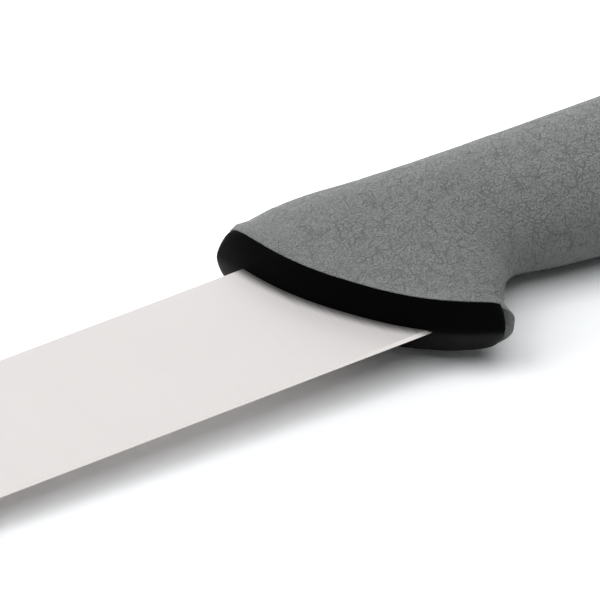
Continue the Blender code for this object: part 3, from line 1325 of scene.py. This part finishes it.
@dataclass
class Studio:
    """The table, the light and the camera."""

    origin: Vector
    supports: tuple[list[Vector], list[Vector]]
    table: PaleTable = field(default_factory=PaleTable)
    table_size: float = 60.0
    roll: float = math.radians(3.5)
    right: Vector = field(default_factory=lambda: Vector((-0.7877, 0.6084, 0.0965)))
    up: Vector = field(default_factory=lambda: Vector((-0.2978, -0.5132, 0.8050)))
    look_right: float = 0.01053
    look_down: float = 0.00488
    distance: float = 2.5
    scale: float = 5521.7
    image_width: int = 600
    sensor: float = 36.0
    sky: float = 0.06
    sky_tint: tuple[float, float, float] = (0.93, 1.0, 1.05)
    lamps: tuple[SoftLamp, ...] = (
        SoftLamp("overhead_lamp", (0.0, 0.06, 1.0), 2.3, 0.75),
        SoftLamp("rear_lamp", (-0.40, -0.85, 0.22), 1.6, 0.72),
        SoftLamp("left_lamp", (0.60, -0.40, 0.70), 1.4, 0.48),
    )

    def build(self) -> None:
        """Builds the table, the sky, the lamps and the camera."""
        self._build_table()
        self._build_sky()
        for lamp in self.lamps:
            lamp.build(self.origin)
        self._build_camera()
        bpy.context.scene.view_settings.view_transform = "Standard"

    def _build_table(self) -> None:
        """Lays the table under the knife, which leans on its tip and rolls a little to its edge."""
        across = math.tan(self.roll)
        slope, height = self._rest(across)
        upwards = Vector((-slope, -across, 1)).normalized()
        turn = Vector((0, 0, 1)).rotation_difference(upwards).to_matrix().to_4x4()
        bm = bmesh.new()
        bmesh.ops.create_grid(bm, x_segments=1, y_segments=1, size=self.table_size)
        bmesh.ops.transform(bm, matrix=Matrix.Translation((0, 0, height)) @ turn, verts=bm.verts)
        mesh = bpy.data.meshes.new("table")
        bm.to_mesh(mesh)
        bm.free()
        mesh.materials.append(self.table.material())
        table = bpy.data.objects.new("table", mesh)
        bpy.context.scene.collection.objects.link(table)

    def _rest(self, across: float) -> tuple[float, float]:
        """The table's slope along the knife and its height, where handle and tip both touch it.

        Args:
            across: The table's slope across the knife.

        Returns:
            The slope and the height at the frame's origin.
        """
        handle, tip = ([(p.x, p.z - across * p.y) for p in points] for points in self.supports)
        low, high = 0.0, 0.1
        for _ in range(24):
            slope = (low + high) / 2
            under_handle = min(z - slope * x for x, z in handle)
            under_tip = min(z - slope * x for x, z in tip)
            low, high = (slope, high) if under_tip > under_handle else (low, slope)
        return slope, under_handle

    def _build_sky(self) -> None:
        """A surround that shows white and lights more softly than it shows."""
        world = bpy.data.worlds.new("studio")
        world.use_nodes = True
        bpy.context.scene.world = world
        sheet = NodeSheet(world.node_tree)
        seen = sheet.seen()
        colour = sheet.mix(seen, (*self.sky_tint, 1.0), grey(1.0))
        strength = sheet.math("MAXIMUM", seen, self.sky)
        shader = sheet.add("Background", Color=colour, Strength=strength)
        sheet.add("OutputWorld", Surface=shader.outputs[0])

    def _build_camera(self) -> None:
        """Stands the camera where the photograph was taken from."""
        data = bpy.data.cameras.new("camera")
        data.sensor_width = self.sensor
        data.lens = self.scale * self.distance / self.image_width * self.sensor
        data.clip_start = 0.1
        data.clip_end = 200.0
        camera = bpy.data.objects.new("camera", data)
        right = self.right.normalized()
        up = (self.up - right * self.up.dot(right)).normalized()
        back = right.cross(up)
        target = self.origin + right * self.look_right - up * self.look_down
        camera.location = target + back * self.distance
        camera.rotation_mode = "QUATERNION"
        camera.rotation_quaternion = Matrix((right, up, back)).transposed().to_quaternion()
        bpy.context.scene.collection.objects.link(camera)
        bpy.context.scene.camera = camera


def knife_origin(blade_length: float) -> Vector:
    """Where the spine leaves the handle, at the middle of the blade's thickness.

    Args:
        blade_length: The blade's length in front of the handle.

    Returns:
        The point in the knife's frame.
    """
    low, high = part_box("blade")
    return Vector((high.x - blade_length, low.y, (low.z + high.z) / 2))


def main() -> None:
    """Builds the knife and the studio round it."""
    logging.basicConfig(level=logging.INFO, format="%(name)s: %(message)s")
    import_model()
    origin = knife_origin(Blade.length)
    form = HandleForm(origin)
    blade = Blade(form)
    for part in (blade, BlackCore(form), GripCover(form)):
        made = part.build()
        LOG.info("%s: %d faces", made.name, len(made.data.polygons))
    Studio(origin, (form.outline_points(), blade.tip_points())).build()


if __name__ == "__main__":
    main()
